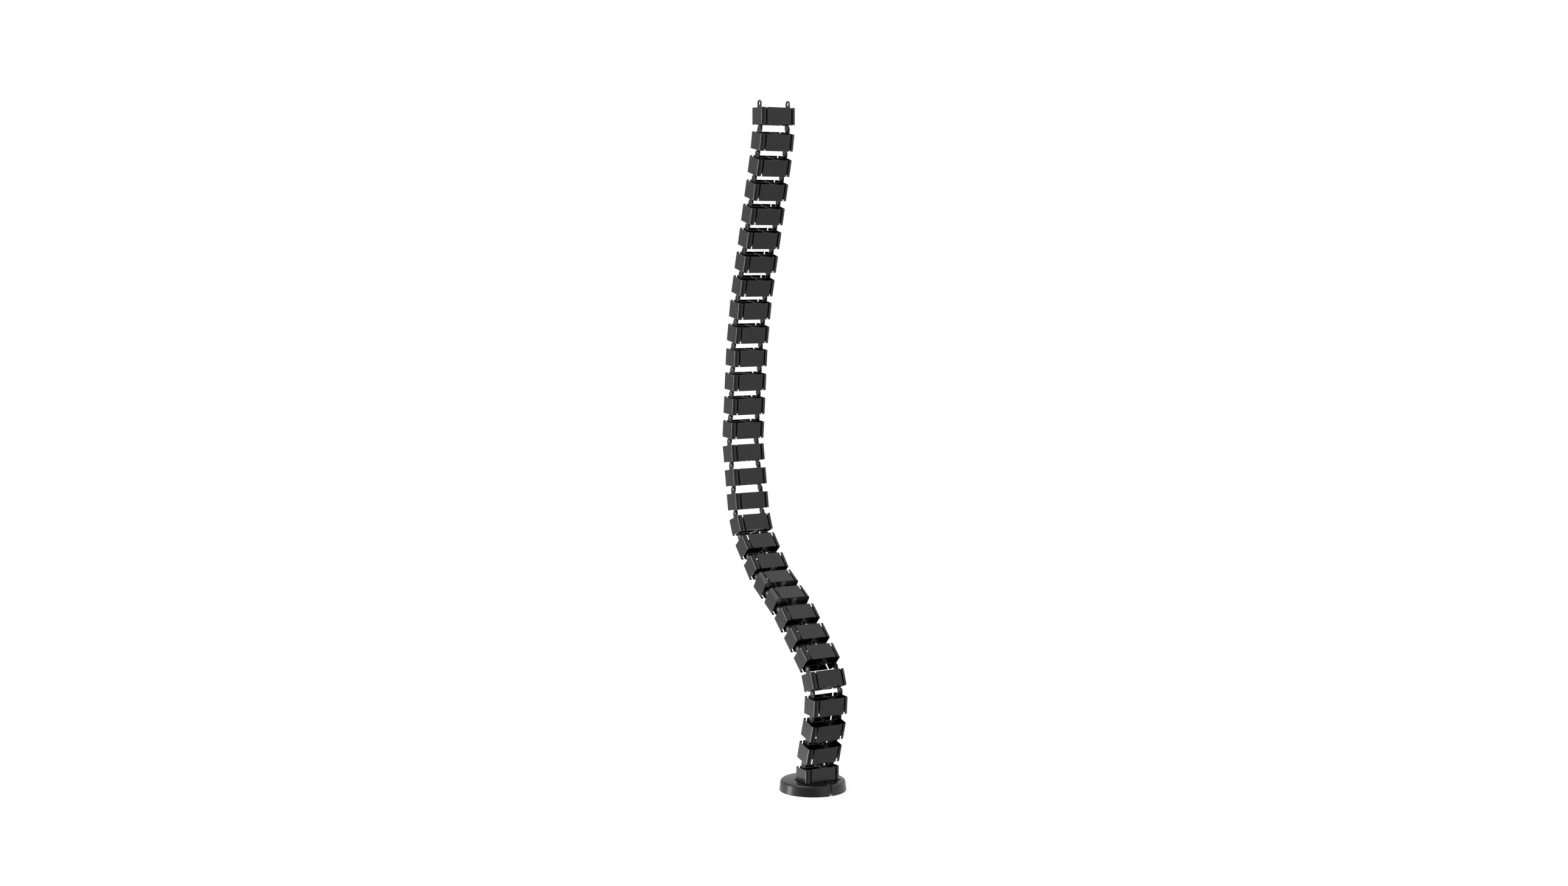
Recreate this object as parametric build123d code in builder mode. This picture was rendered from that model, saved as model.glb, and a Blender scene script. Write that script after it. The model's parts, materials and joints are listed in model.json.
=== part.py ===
"""Cable spine: a chain of hollow vertebrae that leads cables from a desk down to the floor.

Thirty like vertebrae hang one on the other. Each is a moulded tube with four cable chambers and four long
slots, two eyelet lugs on its top rim and two pegged tabs under its bottom rim. The pegs of one vertebra snap
into the eyelets of the next one down, and the pegs of the last one snap into the weighted round base.
Millimetres, +Z up. The origin is the centre of the round base, on the floor. X is the long side of the
vertebrae, which is also the direction of every hinge axis.
"""

import os
from math import cos, radians, sin

from build123d import *

# Driving sizes of one vertebra
vertebra_length = 68.0
vertebra_depth = 37.5
vertebra_height = 29.0
corner_radius = 5.5
outer_wall = 1.2
divider_wall = 1.0
slot_width = 2.8
slot_inset = 8.5

# Driving sizes of the snap hinge between two vertebrae
hinge_pitch = 43.0
lug_inset = 5.4
lug_thickness = 2.0
lug_width = 11.6
lug_root = 5.0
eyelet_radius = 2.85
tab_thickness = 1.6
tab_width = 10.4
tab_root = 5.0
tab_side_gap = 0.3
peg_running_gap = 0.1
peg_proud = 0.3

# The chain repeats every round form thirty times over, so on a vertebra these have few sides
round_sides = 8

# Driving sizes of the base
base_flare = 1.8
base_edge_height = 17.8
base_crown_rise = 4.3
shoulder_cut = 2.4
shoulder_trim = 0.9
cover_wall = 1.3
inner_shoulder_cut = 2.0
pad_thickness = 1.2
pad_inset = 0.2
well_end_gap = 1.5
well_side_gap = 2.0
well_end_margin = 22.1
well_front_margin = 22.0
seat_height = 14.5
cable_slit_width = 5.5
shelf_thickness = 2.0
weight_gap = 0.2

# How the spine stands: the lean of each vertebra from upright in degrees, from the base up. A lean above 0
# tips the top of a vertebra towards +Y.
leans = [
    *(0.0, -16.0, -16.5, -4.0, 20.0),
    *(46.0, 46.0, 46.0, 57.0, 57.0),
    *(41.0, 41.0, 22.0, 9.0, 9.0),
    *(9.0, -5.0, -5.0, -5.0, -5.0),
    *(-10.0, -10.0, -15.0, -15.0, -15.0),
    *(-15.0, -15.0, -15.0, -10.0, 0.0),
]

# Places that follow from the sizes
lug_x = vertebra_length / 2 - lug_inset
tab_x = lug_x - lug_thickness / 2 - tab_side_gap - tab_thickness / 2
slot_x = vertebra_length / 2 - slot_inset
peg_radius = eyelet_radius - peg_running_gap
peg_length = tab_side_gap + lug_thickness + peg_proud
hinge_height = hinge_pitch / 2
rim_height = vertebra_height / 2
flat_up = 180 / round_sides
base_hinge_height = seat_height - (hinge_height - rim_height)
well_length = vertebra_length + 2 * well_end_gap
well_depth = vertebra_depth + 2 * well_side_gap
base_radius = well_length / 2 + well_end_margin
well_offset = base_radius - well_front_margin - well_depth / 2

os.makedirs("parts", exist_ok=True)


def soft_rectangle(length, depth, radius):
    """Corners of a rectangle whose four rounded corners take a quarter of the round sides each."""
    steps = round_sides // 4
    points = []
    for quarter, (side_x, side_y) in enumerate([(1, 1), (-1, 1), (-1, -1), (1, -1)]):
        for step in range(steps + 1):
            angle = radians(90 * (quarter + step / steps))
            x = side_x * (length / 2 - radius) + radius * cos(angle)
            y = side_y * (depth / 2 - radius) + radius * sin(angle)
            points.append((x, y))
    return points


# Vertebra: one extruded section, with its lugs, tabs and pegs
with BuildPart() as blank:
    with BuildSketch():
        Polygon(*soft_rectangle(vertebra_length, vertebra_depth, corner_radius))
        Polygon(
            *soft_rectangle(
                vertebra_length - 2 * outer_wall,
                vertebra_depth - 2 * outer_wall,
                corner_radius - outer_wall,
            ),
            mode=Mode.SUBTRACT,
        )
        Rectangle(vertebra_length - outer_wall, divider_wall)
        Rectangle(divider_wall, vertebra_depth - outer_wall)
        with GridLocations(2 * slot_x, vertebra_depth - outer_wall, 2, 2):
            Rectangle(slot_width, 2 * outer_wall, mode=Mode.SUBTRACT)
    extrude(amount=rim_height, both=True)

    # Eyelet lugs, rooted in the chambers astride the long divider
    for side in (-1, 1):
        with BuildSketch(Plane.YZ.offset(side * lug_x)):
            with Locations((0, hinge_height)):
                RegularPolygon(lug_width / 2, round_sides, major_radius=False, rotation=flat_up)
            with Locations((0, rim_height - lug_root)):
                Rectangle(
                    lug_width,
                    hinge_height - rim_height + lug_root,
                    align=(Align.CENTER, Align.MIN),
                )
            with Locations((0, hinge_height)):
                RegularPolygon(
                    eyelet_radius,
                    round_sides,
                    major_radius=False,
                    rotation=flat_up,
                    mode=Mode.SUBTRACT,
                )
        extrude(amount=lug_thickness / 2, both=True)

    # Tabs that hang inside the lugs of the next vertebra down, each with a peg that points outwards
    for side in (-1, 1):
        with BuildSketch(Plane.YZ.offset(side * tab_x)):
            with Locations((0, -hinge_height)):
                RegularPolygon(tab_width / 2, round_sides, major_radius=False, rotation=flat_up)
            with Locations((0, tab_root - rim_height)):
                Rectangle(
                    tab_width,
                    hinge_height - rim_height + tab_root,
                    align=(Align.CENTER, Align.MAX),
                )
        extrude(amount=tab_thickness / 2, both=True)
        with BuildSketch(Plane.YZ.offset(side * (tab_x + tab_thickness / 2))):
            with Locations((0, -hinge_height)):
                RegularPolygon(peg_radius, round_sides, rotation=flat_up)
        extrude(amount=side * peg_length)

vertebra_count = len(leans)

# The chain: every vertebra hangs its pegs in the eyelets of the one below
hinge_y = -well_offset
hinge_z = base_hinge_height
for step, lean in enumerate(leans):
    up_y = sin(radians(lean))
    up_z = cos(radians(lean))
    middle = (0, hinge_y + up_y * hinge_height, hinge_z + up_z * hinge_height)
    with BuildPart() as vertebra:
        add(blank.part.moved(Location(middle, (-lean, 0, 0))))
    vertebra.part.label = f"vertebra_{vertebra_count - step:02d}"
    export_step(vertebra.part, f"parts/{vertebra.part.label}.step")
    bend = lean - leans[step - 1] if step else lean
    print(f"{vertebra.part.label} hinge y {hinge_y:.3f} z {hinge_z:.3f} lean {lean:.1f} bend {bend:.1f}")
    hinge_y += up_y * hinge_pitch
    hinge_z += up_z * hinge_pitch
print(f"top eyelets y {hinge_y:.3f} z {hinge_z:.3f}, vertebra volume {blank.part.volume:.0f} mm3")


def dome_outline(inset, hidden=True):
    """Half section of the low dome, from its axis to its flared side, shrunk by an inset. Where the dome is
    hidden inside the base, two straight runs stand for its arc."""
    crown = (0, base_edge_height + base_crown_rise - inset)
    edge = (base_radius - base_flare - inset, base_edge_height - inset)
    arc = TangentArc(crown, edge, tangent=(1, 0), mode=Mode.PRIVATE if hidden else Mode.ADD)
    if hidden:
        Polyline(crown, arc @ 0.5, edge)
    Polyline(edge, (base_radius - inset, pad_thickness), (0, pad_thickness), crown)
    return edge


# Hollow of the cover: the dome less its wall, with the well and the cable slit walled off
with BuildPart() as hollow:
    with BuildSketch(Plane.XZ) as hollow_section:
        with BuildLine():
            shoulder = dome_outline(cover_wall)
        make_face()
        chamfer(hollow_section.vertices().sort_by_distance(shoulder)[0], inner_shoulder_cut)
    revolve(axis=Axis.Z)
    with BuildSketch():
        with Locations((0, -well_offset)):
            Rectangle(well_length + 2 * cover_wall, well_depth + 2 * cover_wall)
            Rectangle(
                cable_slit_width + 2 * cover_wall,
                2 * base_radius,
                align=(Align.CENTER, Align.MAX),
            )
    extrude(amount=2 * base_radius, mode=Mode.SUBTRACT)

# Cover: the domed shell with its well, its cable slit and the two lugs that bear the last vertebra
with BuildPart() as base_cover:
    with BuildSketch(Plane.XZ) as cover_section:
        with BuildLine():
            shoulder = dome_outline(0, hidden=False)
        make_face()
        chamfer(cover_section.vertices().sort_by_distance(shoulder)[0], shoulder_cut)
        chamfer(cover_section.vertices().sort_by_distance(shoulder)[:2], shoulder_trim)
    revolve(axis=Axis.Z)
    add(hollow.part, mode=Mode.SUBTRACT)
    with BuildSketch():
        with Locations((0, -well_offset)):
            Rectangle(well_length, well_depth)
            Rectangle(cable_slit_width, 2 * base_radius, align=(Align.CENTER, Align.MAX))
    extrude(amount=2 * base_radius, mode=Mode.SUBTRACT)
    for side in (-1, 1):
        with BuildSketch(Plane.YZ.offset(side * lug_x)):
            with Locations((-well_offset, base_hinge_height)):
                RegularPolygon(lug_width / 2, round_sides, major_radius=False, rotation=flat_up)
                RegularPolygon(
                    eyelet_radius,
                    round_sides,
                    major_radius=False,
                    rotation=flat_up,
                    mode=Mode.SUBTRACT,
                )
            with Locations((-well_offset, pad_thickness)):
                Rectangle(lug_width, base_radius, align=(Align.CENTER, Align.MAX), mode=Mode.SUBTRACT)
        extrude(amount=lug_thickness / 2, both=True)
        with Locations((side * lug_x, -well_offset, pad_thickness)):
            Box(
                well_length / 2 - lug_x + cover_wall / 2,
                lug_width,
                shelf_thickness,
                align=(Align.MIN if side > 0 else Align.MAX, Align.CENTER, Align.MIN),
            )
base_cover.part.label = "base_cover"
export_step(base_cover.part, "parts/base_cover.step")

# Weight: a steel casting that fills the cover round the well and the slit
with BuildPart() as base_weight:
    with BuildSketch(Plane.XZ) as weight_section:
        with BuildLine():
            shoulder = dome_outline(cover_wall + weight_gap)
        make_face()
        chamfer(weight_section.vertices().sort_by_distance(shoulder)[0], inner_shoulder_cut)
    revolve(axis=Axis.Z)
    with BuildSketch():
        with Locations((0, -well_offset)):
            Rectangle(
                well_length + 2 * (cover_wall + weight_gap),
                well_depth + 2 * (cover_wall + weight_gap),
            )
            Rectangle(
                cable_slit_width + 2 * (cover_wall + weight_gap),
                2 * base_radius,
                align=(Align.CENTER, Align.MAX),
            )
    extrude(amount=2 * base_radius, mode=Mode.SUBTRACT)
base_weight.part.label = "base_weight"
export_step(base_weight.part, "parts/base_weight.step")

# Pad: the soft anti-slip sheet that closes the base from below
with BuildPart() as base_pad:
    with BuildSketch():
        Circle(base_radius - pad_inset)
        with Locations((0, -well_offset)):
            Rectangle(well_length, well_depth, mode=Mode.SUBTRACT)
            Rectangle(
                cable_slit_width,
                2 * base_radius,
                align=(Align.CENTER, Align.MAX),
                mode=Mode.SUBTRACT,
            )
    extrude(amount=pad_thickness)
base_pad.part.label = "base_pad"
export_step(base_pad.part, "parts/base_pad.step")
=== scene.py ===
# %% [markdown]
# # A cable spine that stands in an S curve
# A cable spine takes the leads of a desk down to the floor. It is a chain of thirty like vertebrae,
# each one black moulding, on a round weighted base. The solid model already says where each
# vertebra stands and how it turns, so this file gives the chain what a plain solid lacks: round
# eyelets and corners, softly broken edges, and the satin black of an injection moulding.

# %% Load the solid model
import json
from math import atan2, cos, pi, radians, sin, sqrt, tan

import bmesh
import bpy
from mathutils import Matrix, Vector


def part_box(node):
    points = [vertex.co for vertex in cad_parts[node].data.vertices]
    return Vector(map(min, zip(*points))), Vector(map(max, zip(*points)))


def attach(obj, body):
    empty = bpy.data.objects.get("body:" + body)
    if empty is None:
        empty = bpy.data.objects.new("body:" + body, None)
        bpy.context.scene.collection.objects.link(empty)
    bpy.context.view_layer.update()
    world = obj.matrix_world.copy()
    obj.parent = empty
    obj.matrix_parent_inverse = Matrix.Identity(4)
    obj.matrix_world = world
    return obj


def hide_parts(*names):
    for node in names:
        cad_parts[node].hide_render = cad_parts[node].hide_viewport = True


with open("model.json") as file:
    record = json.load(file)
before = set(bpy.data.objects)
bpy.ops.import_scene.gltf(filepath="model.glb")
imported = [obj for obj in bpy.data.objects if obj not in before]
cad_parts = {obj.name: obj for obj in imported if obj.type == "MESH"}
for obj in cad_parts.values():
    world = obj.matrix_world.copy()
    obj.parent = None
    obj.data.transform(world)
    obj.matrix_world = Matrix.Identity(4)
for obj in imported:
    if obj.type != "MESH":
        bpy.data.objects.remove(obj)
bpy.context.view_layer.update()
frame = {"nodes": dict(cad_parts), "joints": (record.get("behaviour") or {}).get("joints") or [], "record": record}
mm = 0.001


def rounded(vector, digits=4):
    return [round(value, digits) for value in vector]


# %% [markdown]
# The joints of the model hold the whole stance. Each vertebra turns on the axis under it, and the
# next axis up shows which way it leans. Reading both from the model keeps every moulding exactly
# where its solid is, which typed numbers would not if the stance were changed later.

# %% Where each vertebra stands
hinges = sorted(frame["joints"], key=lambda joint: joint["child"], reverse=True)
top_eyelets = next(m for m in frame["record"]["mounts"] if m["name"] == "top_eyelets")
axis_points = [Vector(joint["pos_m"]) for joint in hinges] + [Vector(top_eyelets["pos_m"])]
pitch = (axis_points[1] - axis_points[0]).length
print(len(hinges), "vertebrae on a pitch of", round(pitch / mm, 2), "mm")


def vertebra_place(step):
    """Matrix that stands a vertebra, modelled about its own middle, on its hinge axis."""
    below, above = axis_points[step], axis_points[step + 1]
    lean = atan2(above.y - below.y, above.z - below.z)
    return Matrix.Translation((below + above) / 2) @ Matrix.Rotation(-lean, 4, "X")


# %% [markdown]
# ## The section of a vertebra
# The real part is one section, drawn out over 29 mm: a rounded box cut by four slots, two crossing
# dividers and a small tube where they meet. It could be cut from boxes with booleans, but then
# every edge stays razor sharp. One closed outline is better. A flat curve can be filled, thickened
# and given a rounded edge all at once, and the bore of the tube is simply a second outline inside
# the first.

# %% Sizes of the section
low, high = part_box("vertebra_30")
length = high.x - low.x
depth = high.y - low.y
height = 29 * mm
wall = 1.2 * mm
divider = 1.0 * mm
corner = 5.5 * mm
slot_inset = 8.5 * mm
slot_x = length / 2 - slot_inset
slot_width = 2.8 * mm
tube_radius = 4.4 * mm
bore_radius = 3.2 * mm
print("section", round(length / mm, 2), "x", round(depth / mm, 2), "mm")


# %% Round stretches of an outline
def arc(middle, radius, start, end, steps):
    """Points along an arc, with its angles in degrees."""
    angles = [radians(start + (end - start) * step / steps) for step in range(steps + 1)]
    return [(middle[0] + radius * cos(a), middle[1] + radius * sin(a)) for a in angles]


def ring(radius, count):
    """Points all the way round a circle about the origin."""
    return arc((0, 0), radius, 0, 360 - 360 / count, count - 1)


# %% The outline, a quarter at a time
half_divider = divider / 2
tube_edge = sqrt(tube_radius**2 - half_divider**2)
tube_angle = atan2(half_divider, tube_edge) * 180 / pi
corner_middle = (length / 2 - corner, depth / 2 - corner)

quarter = arc(corner_middle, corner, 0, 90, 10)
quarter += [(slot_x + slot_width / 2, depth / 2), (slot_x + slot_width / 2, depth / 2 - wall)]
quarter += arc(corner_middle, corner - wall, 90, 0, 8)
quarter += [(length / 2 - wall, half_divider)]
quarter += arc((0, 0), tube_radius, tube_angle, 90 - tube_angle, 6)
quarter += [(half_divider, depth / 2 - wall), (slot_x - slot_width / 2, depth / 2 - wall)]
quarter += [(slot_x - slot_width / 2, depth / 2)]

section = list(quarter)
section += [(-x, y) for x, y in reversed(quarter)]
section += [(-x, -y) for x, y in quarter]
section += [(x, -y) for x, y in reversed(quarter)]
bore = ring(bore_radius, 20)
print("outline with", len(section), "points and a bore with", len(bore))

# %% [markdown]
# A thin moulding shows its edges before anything else: in the photograph each rim is a fine light
# line. That line needs an edge with a real radius. The curve's own bevel gives it, and its offset
# draws the outline in by the same amount so that the part doesn't grow.


# %% An object in the scene
def show(name, data):
    """Object for a mesh, curve, lamp or camera, linked to the scene."""
    shown = bpy.data.objects.new(name, data)
    bpy.context.scene.collection.objects.link(shown)
    return shown


# %% A plate with softened edges
def plate(outlines, thickness, edge, steps=1):
    """Mesh of a filled flat shape, centred on its thickness, with rounded edges."""
    curve = bpy.data.curves.new("plate", "CURVE")
    curve.dimensions = "2D"
    curve.fill_mode = "BOTH"
    curve.extrude = thickness / 2 - edge
    curve.bevel_depth = edge
    curve.bevel_resolution = steps
    curve.offset = -edge
    for outline in outlines:
        spline = curve.splines.new("POLY")
        spline.points.add(len(outline) - 1)
        for point, (x, y) in zip(spline.points, outline):
            point.co = (x, y, 0, 1)
        spline.use_cyclic_u = True
    holder = show("plate", curve)
    graph = bpy.context.evaluated_depsgraph_get()
    mesh = bpy.data.meshes.new_from_object(holder.evaluated_get(graph))
    bpy.data.objects.remove(holder)
    bpy.data.curves.remove(curve)
    return mesh


rim_edge = 0.22 * mm
body_plate = plate([section, bore], height, rim_edge)
print("body of a vertebra:", len(body_plate.polygons), "faces")

# %% [markdown]
# ## The snap hinge
# Two lugs with round eyelets rise from the top rim, and two tabs hang under the bottom rim just
# inside the lugs of the next vertebra down. Each tab has a peg that points outwards through the
# eyelet. Lug and tab are both a strap with a round end, so one outline serves both.

# %% Sizes of the hinge
lug_inset = 5.4 * mm
lug_x = length / 2 - lug_inset
lug_thickness = 2.0 * mm
lug_width = 11.6 * mm
tab_thickness = 1.6 * mm
tab_width = 10.4 * mm
side_gap = 0.3 * mm
root = 5.0 * mm
eyelet_radius = 2.85 * mm
peg_radius = 2.75 * mm
peg_proud = 0.3 * mm
peg_length = side_gap + lug_thickness + peg_proud
tab_x = lug_x - lug_thickness / 2 - side_gap - tab_thickness / 2
reach = pitch / 2 - height / 2
print("eyelet centres", round(reach / mm, 2), "mm outside the rims")


# %% A strap with a round end
def strap(width):
    """Outline of a strap whose round end is centred on the origin and whose root is in the chambers."""
    end = arc((0, 0), width / 2, 0, 180, 16)
    return end + [(-width / 2, -reach - root), (width / 2, -reach - root)]


eyelet = ring(eyelet_radius, 30)
peg_end = ring(peg_radius, 30)
strap_edge = 0.25 * mm
lug = plate([strap(lug_width), eyelet], lug_thickness, strap_edge)
tab = plate([strap(tab_width)], tab_thickness, strap_edge)
peg = plate([peg_end], peg_length + tab_thickness / 2, strap_edge)

# %% [markdown]
# The end of a peg isn't square. It slopes in towards the bottom, so that it can push its lug aside
# when the vertebra is pressed down on the next one, and then snap through the eyelet. From outside
# the slope shows as a dark crescent in the foot of each eyelet.

# %% Slope the end of the peg
ramp_slope = 0.25
for vertex in peg.vertices:
    if vertex.co.z > 0:
        vertex.co.z -= ramp_slope * (peg_radius - vertex.co.y)
print("lug", len(lug.polygons), "tab", len(tab.polygons), "peg", len(peg.polygons), "faces")

# %% [markdown]
# The pieces of one vertebra are moulded together, so they become one mesh. A strap is drawn flat
# and has to stand up along the chain: its own x goes across the chain, its own y up it, and its
# thickness along the hinge.

# %% Stand a flat piece up in the hinge's plane
upright = Matrix(((0, 0, 1, 0), (1, 0, 0, 0), (0, 1, 0, 0), (0, 0, 0, 1)))
upside_down = Matrix.Rotation(pi, 4, "X")
mirrored_across = Matrix.Scale(-1, 4, (1, 0, 0))
print("a strap's own y goes along", rounded(upright @ Vector((0, 1, 0)), 0))


def at(x, y, z):
    return Matrix.Translation((x, y, z))


# %% Join the pieces of one vertebra
merge_distance = 0.001 * mm


def joined(name, pieces):
    """One mesh from several, each with the matrix that places it."""
    whole = bmesh.new()
    for mesh, place in pieces:
        part = mesh.copy()
        part.transform(place)
        whole.from_mesh(part)
        bpy.data.meshes.remove(part)
    bmesh.ops.remove_doubles(whole, verts=whole.verts, dist=merge_distance)
    bmesh.ops.recalc_face_normals(whole, faces=whole.faces)
    mesh = bpy.data.meshes.new(name)
    whole.to_mesh(mesh)
    whole.free()
    return mesh


vertebra_pieces = [(body_plate, Matrix.Identity(4))]
for side in (-1, 1):
    peg_x = side * (tab_x + tab_thickness / 4 + peg_length / 2)
    vertebra_pieces += [
        (lug, at(side * lug_x, 0, pitch / 2) @ upright),
        (tab, at(side * tab_x, 0, -pitch / 2) @ upside_down @ upright),
        (peg, at(peg_x, 0, -pitch / 2) @ (upright if side > 0 else mirrored_across @ upright)),
    ]
vertebra_mesh = joined("vertebra", vertebra_pieces)
print("one vertebra:", len(vertebra_mesh.polygons), "faces")

# %% [markdown]
# Smooth shading alone would bend the light over the flat sides, because each corner's normal is an
# average of its faces. Normals weighted by the size of each face leave the flats flat and put the
# whole turn of the light into the narrow rounded edge, where a moulding has it.


# %% Shade flats flat and edges round
sharp_angle = radians(50)


def shade(mesh):
    """Smooth shading with normals weighted by area, written into the mesh."""
    mesh.polygons.foreach_set("use_smooth", [True] * len(mesh.polygons))
    mesh.set_sharp_from_angle(angle=sharp_angle)
    holder = show("shading", mesh)
    weighted = holder.modifiers.new("flat_sides", "WEIGHTED_NORMAL")
    weighted.keep_sharp = True
    graph = bpy.context.evaluated_depsgraph_get()
    shaded = bpy.data.meshes.new_from_object(holder.evaluated_get(graph), depsgraph=graph)
    shaded.name = mesh.name + "_shaded"
    bpy.data.objects.remove(holder)
    return shaded


vertebra_mesh = shade(vertebra_mesh)

# %% [markdown]
# ## Shader maths
# A finish is worked out from a few noises. Written as plain sums it reads like the idea behind it,
# so this small class wraps a socket and adds the Math nodes when it is reckoned with.


# %% A socket that can be reckoned with
class Reading:
    """A value that varies. Sums and products with it add Math nodes to its tree."""

    def __init__(self, nodes, socket):
        self.nodes = nodes
        self.socket = socket

    def reckon(self, operation, first, second):
        return self.nodes.node("ShaderNodeMath", {"operation": operation}, {0: first, 1: second})

    def __add__(self, other):
        return self.reckon("ADD", self, other)

    def __radd__(self, other):
        return self.reckon("ADD", other, self)

    def __sub__(self, other):
        return self.reckon("SUBTRACT", self, other)

    def __rsub__(self, other):
        return self.reckon("SUBTRACT", other, self)

    def __mul__(self, other):
        return self.reckon("MULTIPLY", self, other)

    def __rmul__(self, other):
        return self.reckon("MULTIPLY", other, self)


# %% A tree of nodes
class Nodes:
    """A node tree, of a material or of the world, to which nodes are added by one method."""

    def __init__(self, tree):
        self.tree = tree

    def find(self, kind):
        return next(n for n in self.tree.nodes if n.type == kind)

    def node(self, kind, settings=None, inputs=None, output=0):
        """Add a node: its settings first, then the values or links of its sockets."""
        node = self.tree.nodes.new(kind)
        for setting, value in (settings or {}).items():
            setattr(node, setting, value)
        for socket, value in (inputs or {}).items():
            self.feed(node.inputs[socket], value)
        return Reading(self, node.outputs[output])

    def feed(self, socket, value):
        if isinstance(value, Reading):
            self.tree.links.new(value.socket, socket)
        else:
            socket.default_value = value

    def fade(self, value, start, end, result):
        """Pass smoothly from 0 at the start to the result at the end."""
        return self.node(
            "ShaderNodeMapRange",
            {"interpolation_type": "SMOOTHSTEP"},
            {"Value": value, "From Min": start, "From Max": end, "To Max": result},
            output="Result",
        )


# %% A finish and its shader
class Finish(Nodes):
    """A material with a Principled shader, whose varying values are built node by node."""

    def __init__(self, name, **constants):
        self.material = bpy.data.materials.new(name)
        self.material.use_nodes = True
        super().__init__(self.material.node_tree)
        self.shader = self.find("BSDF_PRINCIPLED")
        for socket, value in constants.items():
            self.shader.inputs[socket.replace("_", " ")].default_value = value

    def vary(self, **readings):
        """Link readings to sockets of the shader."""
        for socket, reading in readings.items():
            self.feed(self.shader.inputs[socket.replace("_", " ")], reading)

    def noise(self, scale, detail, stretch=(1, 1, 1)):
        """Noise over the piece's own coordinates, with its scale in marks per metre."""
        own = self.node("ShaderNodeTexCoord", output="Object")
        spread = self.node("ShaderNodeVectorMath", {"operation": "MULTIPLY"}, {0: own, 1: stretch})
        return self.node(
            "ShaderNodeTexNoise",
            inputs={"Vector": spread, "Scale": scale, "Detail": detail},
            output="Fac",
        )

    def blend(self, amount, low_colour, high_colour):
        """Colour between two colours."""
        return self.node(
            "ShaderNodeMix",
            {"data_type": "RGBA"},
            {"Factor": amount, "A": low_colour, "B": high_colour},
            output="Result",
        )


# %% [markdown]
# ## Satin black moulding
# The vertebrae are tinted plastic out of a polished mould that has been lightly spark-textured. Up
# close that is a fine even grain. From a step away the grain only widens the reflections, and slow
# changes in gloss from how the melt flowed keep the flat sides from looking printed. A plain black
# with one roughness would look like a cut-out against the white, so both grain and flow feed the
# roughness, and the grain lifts the surface.


# %% The moulding's finish
def moulding(name, dark, light, gloss, grain_depth):
    finish = Finish(name, IOR=1.5)
    flow = finish.noise(scale=45, detail=3.0, stretch=(1, 1, 0.35))
    grain = finish.noise(scale=2600, detail=2.0)
    dust = finish.noise(scale=420, detail=4.0)
    finish.vary(
        Base_Color=finish.blend(flow, dark, light),
        Roughness=gloss + 0.08 * flow + 0.06 * grain + 0.05 * dust,
        Normal=finish.node(
            "ShaderNodeBump",
            inputs={"Strength": 0.25, "Distance": grain_depth, "Height": grain},
            output="Normal",
        ),
    )
    return finish.material


vertebra_black = moulding(
    "satin_black",
    dark=(0.002, 0.002, 0.0022, 1),
    light=(0.004, 0.004, 0.0044, 1),
    gloss=0.14,
    grain_depth=0.02 * mm,
)
print("finish:", vertebra_black.name)

# %% Stand the thirty mouldings along the chain
vertebra_mesh.materials.clear()
vertebra_mesh.materials.append(vertebra_black)
for step, hinge in enumerate(hinges):
    node = hinge["child"]
    moulded = show(node.replace("vertebra", "moulding"), vertebra_mesh)
    moulded.matrix_world = vertebra_place(step)
    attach(moulded, node)
    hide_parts(node)
print("mouldings:", len(hinges))

# %% [markdown]
# ## The base
# The cover is turned from one profile: a low dome, a rounded shoulder and a side that flares out to
# the floor. The well for the last vertebra and the slit for the cable are cut through it. Turning
# it with many steps gives the dome an even light, which the few facets of the solid can't.

# %% Sizes of the base
cover_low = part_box("base_cover")[0]
base_radius = 57.6 * mm
base_flare = 1.8 * mm
shoulder_height = 17.8 * mm
crown_rise = 4.3 * mm
shoulder_radius = 5.0 * mm
foot_height = cover_low.z
base_axis = axis_points[0]
well_y = base_axis.y
well_end_gap = 1.5 * mm
well_side_gap = 2.0 * mm
well_length = length + 2 * well_end_gap
well_depth = depth + 2 * well_side_gap
slit_width = 5.5 * mm
print("cover stands", round(foot_height / mm, 2), "mm above the floor")


# %% Profile of the cover
def rounded_corner(before, corner_point, after, radius, steps):
    """Points of an arc that rounds a corner between two straight runs."""
    point = Vector(corner_point)
    one = (Vector(before) - point).normalized()
    two = (Vector(after) - point).normalized()
    half = one.angle(two) / 2
    middle = point + (one + two).normalized() * (radius / sin(half))
    start = point + one * (radius / tan(half)) - middle
    end = point + two * (radius / tan(half)) - middle
    first = atan2(start.y, start.x)
    turn = (atan2(end.y, end.x) - first + pi) % (2 * pi) - pi
    angles = [first + turn * step / steps for step in range(steps + 1)]
    return [(middle.x + radius * cos(a), middle.y + radius * sin(a)) for a in angles]


shoulder_x = base_radius - base_flare
dome_radius = (shoulder_x**2 + crown_rise**2) / (2 * crown_rise)
crown = shoulder_height + crown_rise


def dome_height(x):
    return crown - dome_radius + sqrt(dome_radius**2 - x**2)


dome_steps = 12
rounding_reach = 1.3 * shoulder_radius
dome_reach = shoulder_x - rounding_reach
dome_stops = [dome_reach * step / dome_steps for step in range(dome_steps)]
profile = [(x, dome_height(x)) for x in dome_stops]
profile += rounded_corner(
    before=(dome_reach, dome_height(dome_reach)),
    corner_point=(shoulder_x, shoulder_height),
    after=(base_radius, foot_height),
    radius=shoulder_radius,
    steps=10,
)
profile += [(base_radius, foot_height), (0, foot_height)]
print("cover profile with", len(profile), "points")


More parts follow.
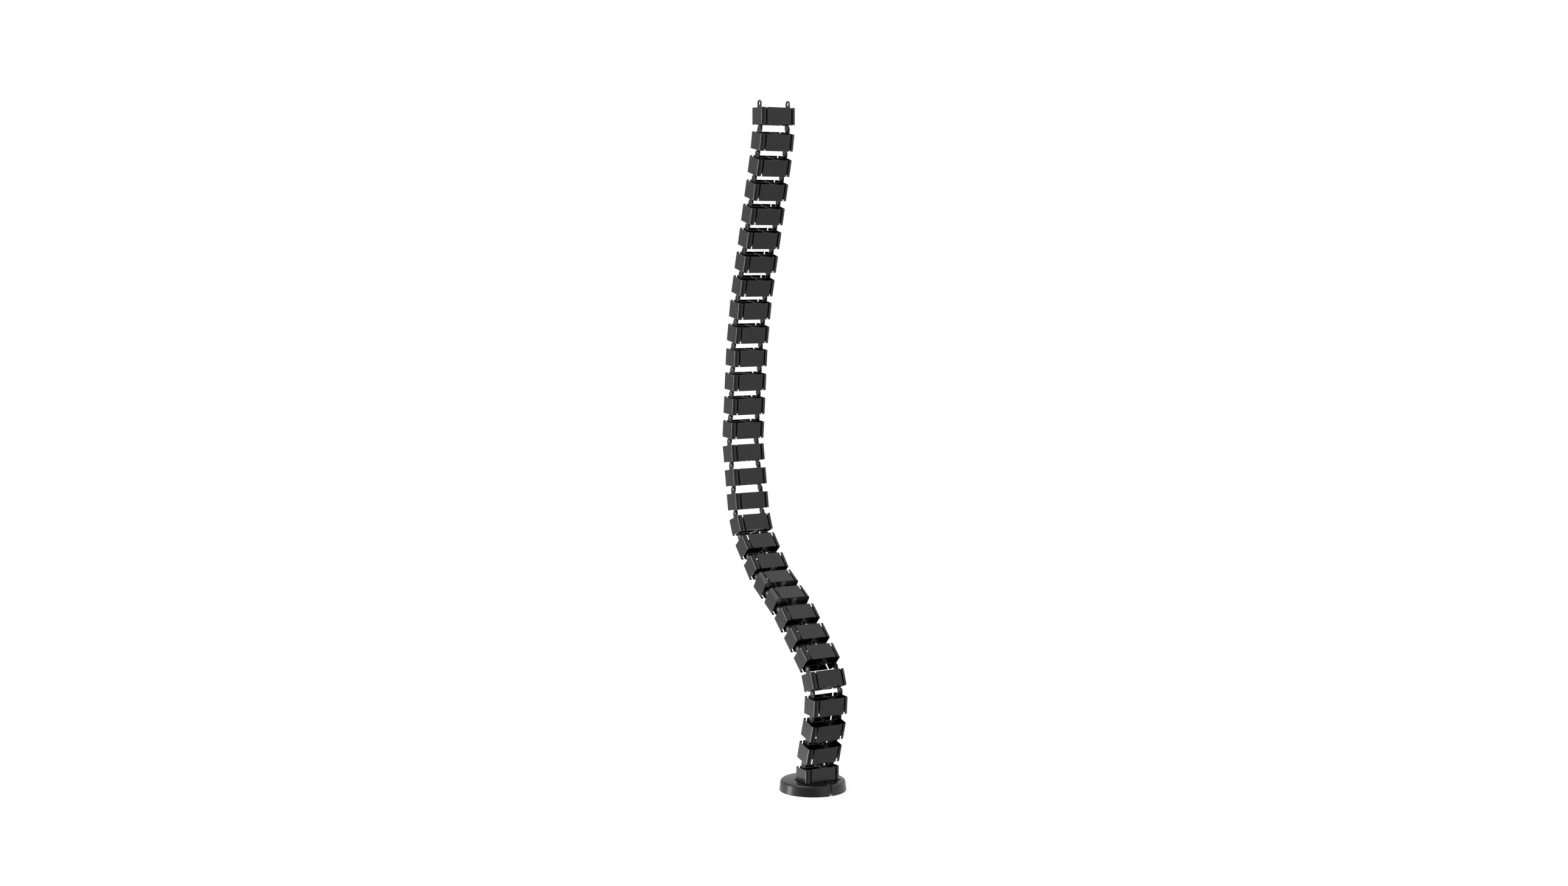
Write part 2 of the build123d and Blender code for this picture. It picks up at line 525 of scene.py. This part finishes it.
# %% Turn the profile
def turned(name, points, steps):
    """Solid of revolution about the base's upright axis."""
    lathe = bmesh.new()
    rings = [lathe.verts.new((x, 0, z)) for x, z in points]
    edges = [lathe.edges.new(pair) for pair in zip(rings, rings[1:])]
    bmesh.ops.spin(
        lathe,
        geom=rings + edges,
        cent=(0, 0, 0),
        axis=(0, 0, 1),
        angle=2 * pi,
        steps=steps,
    )
    bmesh.ops.remove_doubles(lathe, verts=lathe.verts, dist=2 * merge_distance)
    bmesh.ops.recalc_face_normals(lathe, faces=lathe.faces)
    mesh = bpy.data.meshes.new(name)
    lathe.to_mesh(mesh)
    lathe.free()
    return mesh


cover_mesh = turned("cover", profile, steps=144)
print("turned cover:", len(cover_mesh.polygons), "faces")


# %% Cut the well and the slit
def block(name, low_corner, high_corner):
    """Box between two corners, as an object to cut with."""
    mesh = bpy.data.meshes.new(name)
    solid = bmesh.new()
    bmesh.ops.create_cube(solid, size=1)
    size = [b - a for a, b in zip(low_corner, high_corner)]
    middle = [(a + b) / 2 for a, b in zip(low_corner, high_corner)]
    bmesh.ops.scale(solid, verts=solid.verts, vec=size)
    bmesh.ops.translate(solid, verts=solid.verts, vec=middle)
    solid.to_mesh(mesh)
    solid.free()
    return show(name, mesh)


cover = show("cover", cover_mesh)
under_cover = -10 * mm
over_cover = 40 * mm
cutters = [
    block(
        "well_cutter",
        (-well_length / 2, well_y - well_depth / 2, under_cover),
        (well_length / 2, well_y + well_depth / 2, over_cover),
    ),
    block(
        "slit_cutter",
        (-slit_width / 2, -2 * base_radius, under_cover),
        (slit_width / 2, well_y, over_cover),
    ),
]
for cutter in cutters:
    cut = cover.modifiers.new(cutter.name, "BOOLEAN")
    cut.operation = "DIFFERENCE"
    cut.solver = "EXACT"
    cut.object = cutter
cover_edge = 0.35 * mm
soften = cover.modifiers.new("soft_edges", "BEVEL")
soften.width = cover_edge
soften.segments = 3
soften.limit_method = "ANGLE"
soften.angle_limit = sharp_angle
graph = bpy.context.evaluated_depsgraph_get()
cut_mesh = bpy.data.meshes.new_from_object(cover.evaluated_get(graph), depsgraph=graph)
bpy.data.objects.remove(cover)
for cutter in cutters:
    bpy.data.objects.remove(cutter)
print("cut cover:", len(cut_mesh.polygons), "faces")

# %% [markdown]
# The last vertebra's pegs turn in two lugs that stand in the well. They are the same eyelet lugs as
# on a vertebra, cut off level with the underside, on a small shelf that grows from the well's end
# wall.

# %% Lugs of the well
shelf_height = 2.0 * mm
shelf_root = 0.8 * mm
shelf_edge = 0.2 * mm
bearing_lower = -(base_axis.z - foot_height)
bearing_outline = arc((0, 0), lug_width / 2, 0, 180, 16)
bearing_outline += [(-lug_width / 2, bearing_lower), (lug_width / 2, bearing_lower)]
bearing = plate([bearing_outline, eyelet], lug_thickness, strap_edge)
shelf_length = well_length / 2 - lug_x + shelf_root
shelf_outline = [
    (-shelf_length / 2, -lug_width / 2),
    (shelf_length / 2, -lug_width / 2),
    (shelf_length / 2, lug_width / 2),
    (-shelf_length / 2, lug_width / 2),
]
shelf = plate([shelf_outline], shelf_height, shelf_edge)
cover_pieces = [(cut_mesh, Matrix.Identity(4))]
for side in (-1, 1):
    shelf_x = side * (lug_x + shelf_length / 2)
    cover_pieces += [
        (bearing, at(side * lug_x, base_axis.y, base_axis.z) @ upright),
        (shelf, at(shelf_x, base_axis.y, foot_height + shelf_height / 2)),
    ]
cover_mesh = shade(joined("cover", cover_pieces))
print("whole cover:", len(cover_mesh.polygons), "faces")

# %% Finish the base
base_black = moulding(
    "satin_black_base",
    dark=(0.003, 0.003, 0.0032, 1),
    light=(0.006, 0.006, 0.0064, 1),
    gloss=0.22,
    grain_depth=0.02 * mm,
)
cover_mesh.materials.clear()
cover_mesh.materials.append(base_black)
cover = show("domed_cover", cover_mesh)
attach(cover, "base")
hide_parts("base_cover")
print("finish:", base_black.name)

# %% [markdown]
# Two pieces keep their plain solids, because their shape is already right: the rubber sheet under
# the base and the cast weight in it. They get a finish of their own. Rubber scatters light broadly
# and has a dull tooth. A raw casting is dark, rough and blotched.


# %% Rubber and raw steel
def rubber():
    finish = Finish("pad_rubber", IOR=1.5)
    tooth = finish.noise(scale=3200, detail=3.0)
    finish.vary(
        Base_Color=finish.blend(tooth, (0.012, 0.012, 0.012, 1), (0.022, 0.022, 0.022, 1)),
        Roughness=0.72 + 0.15 * tooth,
        Normal=finish.node(
            "ShaderNodeBump",
            inputs={"Strength": 0.4, "Distance": 0.05 * mm, "Height": tooth},
            output="Normal",
        ),
    )
    return finish.material


def raw_steel():
    finish = Finish("raw_steel", Metallic=1.0)
    blotch = finish.noise(scale=160, detail=4.0)
    finish.vary(
        Base_Color=finish.blend(blotch, (0.20, 0.20, 0.20, 1), (0.38, 0.37, 0.36, 1)),
        Roughness=0.45 + 0.25 * blotch,
    )
    return finish.material


for node, material in (("base_pad", rubber()), ("base_weight", raw_steel())):
    mesh = frame["nodes"][node].data
    mesh.materials.clear()
    mesh.materials.append(material)
print("finishes for the pad and the weight")

# %% [markdown]
# ## Floor, light and camera
# The photograph is a studio shot on pure white. The floor is a white sheet that keeps the object's
# faint shadow. To the camera it glows a little, so that it reaches full white without more light on
# the object. Black plastic mirrors whatever is under it, and the studio that is graded below stands
# for all that, so the sheet itself stays out of the reflections.


# %% White floor
def looked_at(nodes):
    """1 for what the camera sees, also through glass, and 0 for all other rays."""
    seen = nodes.node("ShaderNodeLightPath", output="Is Camera Ray")
    return seen + nodes.node("ShaderNodeLightPath", output="Is Transmission Ray")


def white_floor(glow_strength=0.6):
    finish = Finish("white_sheet", Base_Color=(0.85, 0.85, 0.85, 1), Roughness=0.9)
    glow = finish.node(
        "ShaderNodeEmission",
        inputs={"Color": (1, 1, 1, 1), "Strength": glow_strength * looked_at(finish)},
        output="Emission",
    )
    lit = Reading(finish, finish.shader.outputs["BSDF"])
    both = finish.node("ShaderNodeAddShader", inputs={0: lit, 1: glow})
    finish.feed(finish.find("OUTPUT_MATERIAL").inputs["Surface"], both)
    return finish.material


floor_size = 12.0
floor_mesh = bpy.data.meshes.new("floor")
corners = [(-1, -1, 0), (1, -1, 0), (1, 1, 0), (-1, 1, 0)]
floor_mesh.from_pydata([Vector(c) * floor_size / 2 for c in corners], [], [(0, 1, 2, 3)])
floor_mesh.materials.append(white_floor())
floor = show("floor", floor_mesh)
floor.visible_glossy = False
print("floor", floor_size, "m across")

# %% [markdown]
# Black plastic shows its shape almost only by what it mirrors. A plain white room would turn every
# side of the chain into the same grey. So the room that is mirrored is graded by direction, as a
# photographer does with cards: a dark flag in front, a duller wall behind on the left with a pool
# of light low on it, a light ceiling and one narrow upright light that draws the fine line down
# every rounded corner. Rays that light the object instead of being mirrored see an even pale grey.
# A card fades in between a start and an end, which are cosines where it faces an azimuth, and
# otherwise the height of the ray from -1, straight down, to 1, straight up.

# %% Directions in the studio
world = bpy.data.worlds.new("white_studio")
bpy.context.scene.world = world
world.use_nodes = True
studio = Nodes(world.node_tree)
direction = studio.node("ShaderNodeTexCoord", output="Generated")
height_seen = studio.node("ShaderNodeSeparateXYZ", inputs={"Vector": direction}, output="Z")
flattened = studio.node(
    "ShaderNodeVectorMath", {"operation": "MULTIPLY"}, {0: direction, 1: (1, 1, 0)}
)
level_direction = studio.node("ShaderNodeVectorMath", {"operation": "NORMALIZE"}, {0: flattened})


def towards(azimuth):
    """Cosine of the angle, seen from above, between a mirrored ray and an azimuth in degrees."""
    wall = (cos(radians(azimuth)), sin(radians(azimuth)), 0)
    return studio.node(
        "ShaderNodeVectorMath",
        {"operation": "DOT_PRODUCT"},
        {0: level_direction, 1: wall},
        output="Value",
    )


# %% What black plastic mirrors
flag_azimuth = 222.7
wall_azimuth = 105
strip_azimuth = 150
strip_half_width = 2.5
strip_soft_edge = 2.0
wall_shade = 0.23

flag = studio.fade(towards(flag_azimuth), start=0.68, end=0.97, result=0.5)
wall_behind = studio.fade(towards(wall_azimuth), start=-0.1, end=0.9, result=1.0)
pool = studio.fade(height_seen, start=-0.21, end=-0.29, result=2.4)
ceiling = studio.fade(height_seen, start=0.3, end=0.9, result=0.13)
floor_dim = studio.fade(height_seen, start=0.0, end=-0.8, result=0.34)
strip = studio.fade(
    towards(strip_azimuth),
    start=cos(radians(strip_half_width + strip_soft_edge)),
    end=cos(radians(strip_half_width)),
    result=16.0,
)
strip_top = 1 - studio.fade(height_seen, start=0.15, end=0.45, result=0.9)
cards = ceiling - floor_dim - flag + strip * strip_top
mirrored = 1.0 + cards + wall_behind * (pool - wall_shade)
print("cards towards azimuths", flag_azimuth, wall_azimuth, strip_azimuth)

# %% The studio's light
even_light = 0.55
background = studio.find("BACKGROUND")
background.inputs["Color"].default_value = (1, 1, 1, 1)
mirror_ray = studio.node("ShaderNodeLightPath", output="Is Glossy Ray")
to_camera = (1 - even_light) * looked_at(studio)
to_mirrors = mirror_ray * (mirrored - even_light)
studio.feed(background.inputs["Strength"], even_light + to_camera + to_mirrors)
print("studio: white to the camera, graded where it is mirrored, pale grey light on the object")


# %% Soft box over the chain
def soft_box(name, place, target, width, tall, power):
    lamp = bpy.data.lights.new(name, "AREA")
    lamp.shape = "RECTANGLE"
    lamp.size = width
    lamp.size_y = tall
    lamp.energy = power
    holder = show(name, lamp)
    holder.location = place
    holder.rotation_euler = (Vector(target) - Vector(place)).to_track_quat("-Z", "Y").to_euler()


chain_middle = (axis_points[0] + axis_points[-1]) / 2
soft_box("top_box", place=(-0.6, 0.6, 2.8), target=chain_middle, width=1.4, tall=1.4, power=20)
print("one soft box above the chain")

# %% [markdown]
# The camera was worked out from the photograph: a 50 mm lens from 3.7 metres, well to the left of
# the chain's front and looking down by five degrees. Its turn, distance, height, pitch and shift to
# the side are measured from the axis of the last vertebra.

# %% Camera
camera_turn = radians(32.29)
camera_distance = 3.66837
camera_height = 0.9250
camera_pitch = radians(-5.07)
camera_aside = -0.05753

ahead = Vector((sin(camera_turn), cos(camera_turn), 0))
aside = Vector((cos(camera_turn), -sin(camera_turn), 0))
stand = Vector((base_axis.x, base_axis.y, camera_height))
looking = ahead * cos(camera_pitch) + Vector((0, 0, sin(camera_pitch)))

camera_data = bpy.data.cameras.new("camera")
camera_data.lens = 50
camera_data.sensor_width = 36
camera = show("camera", camera_data)
camera.location = stand - ahead * camera_distance + aside * camera_aside
camera.rotation_euler = looking.to_track_quat("-Z", "Y").to_euler()
bpy.context.scene.camera = camera
bpy.context.scene.view_settings.view_transform = "Standard"
print("camera at", rounded(camera.location, 3))
